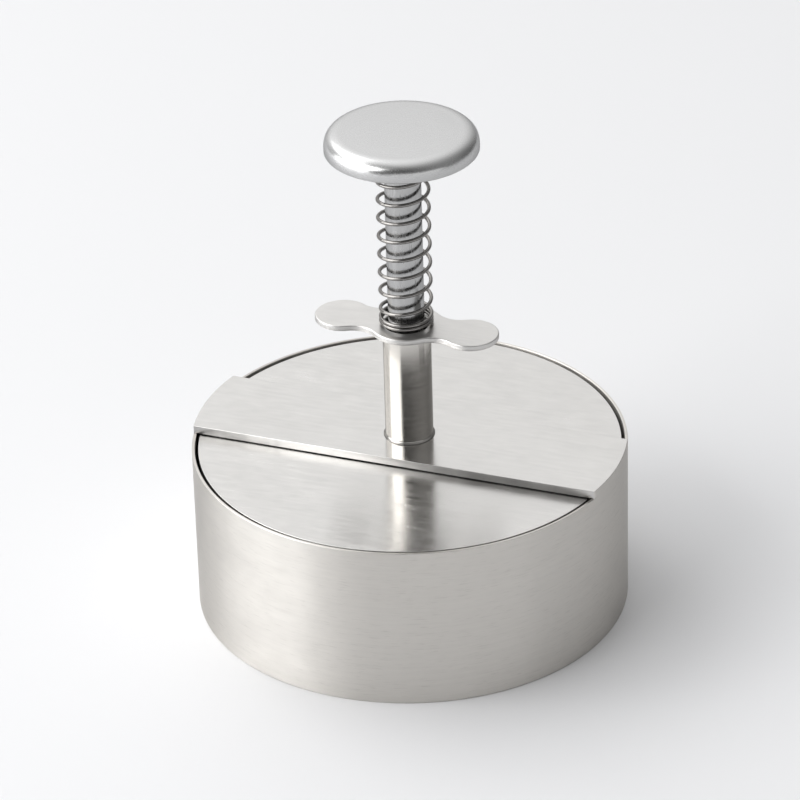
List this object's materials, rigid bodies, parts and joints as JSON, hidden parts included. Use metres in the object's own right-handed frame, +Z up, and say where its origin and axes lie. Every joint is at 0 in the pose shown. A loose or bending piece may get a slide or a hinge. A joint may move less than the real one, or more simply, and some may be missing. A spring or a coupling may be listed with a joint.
{
  "type": "patty press",
  "caption": "Round steel patty press: a mould ring with a bar, guide tube and finger grip, and a sprung plunger with a plate and a round knob.",
  "frame": {"origin": "on the ring's axis, in the plane that the ring stands on", "axes": "+Z up along the plunger, +X along the bar and the wings"},
  "size_m": [0.118, 0.118, 0.1401],
  "materials": {
    "ring_steel": "brushed round the ring",
    "bar_steel": "fine satin",
    "tube_steel": "semi-bright",
    "plate_steel": "fine satin",
    "rod_steel": "ground, drawn lengthwise",
    "knob_steel": "satin top, polished shoulder",
    "spring_steel": "bright drawn wire",
    "screw_steel": "plain"
  },
  "bodies": {
    "frame": {"mould_ring": "ring_steel", "bridge_bar": "bar_steel", "guide_tube": "tube_steel", "finger_grip": "bar_steel"},
    "spring": {"return_spring": "spring_steel"},
    "plunger": {"plunger_rod": "rod_steel", "press_plate": "plate_steel", "plate_screw": "screw_steel", "knob_shell": "knob_steel", "knob_base": "knob_steel", "knob_nut": "screw_steel"}
  },
  "joints": [
    {"name": "plunger_press", "type": "slide", "parent": "frame", "child": "spring", "axis": [0, 0, -1], "range_m": [0, 0.036], "stiffness_N_per_m": 450, "springref_m": -0.012, "deforming": ["return_spring"]},
    {"name": "plunger_turn", "type": "hinge", "parent": "spring", "child": "plunger", "pos_m": [0, 0, 0.09], "axis": [0, 0, 1], "continuous": true}
  ]
}
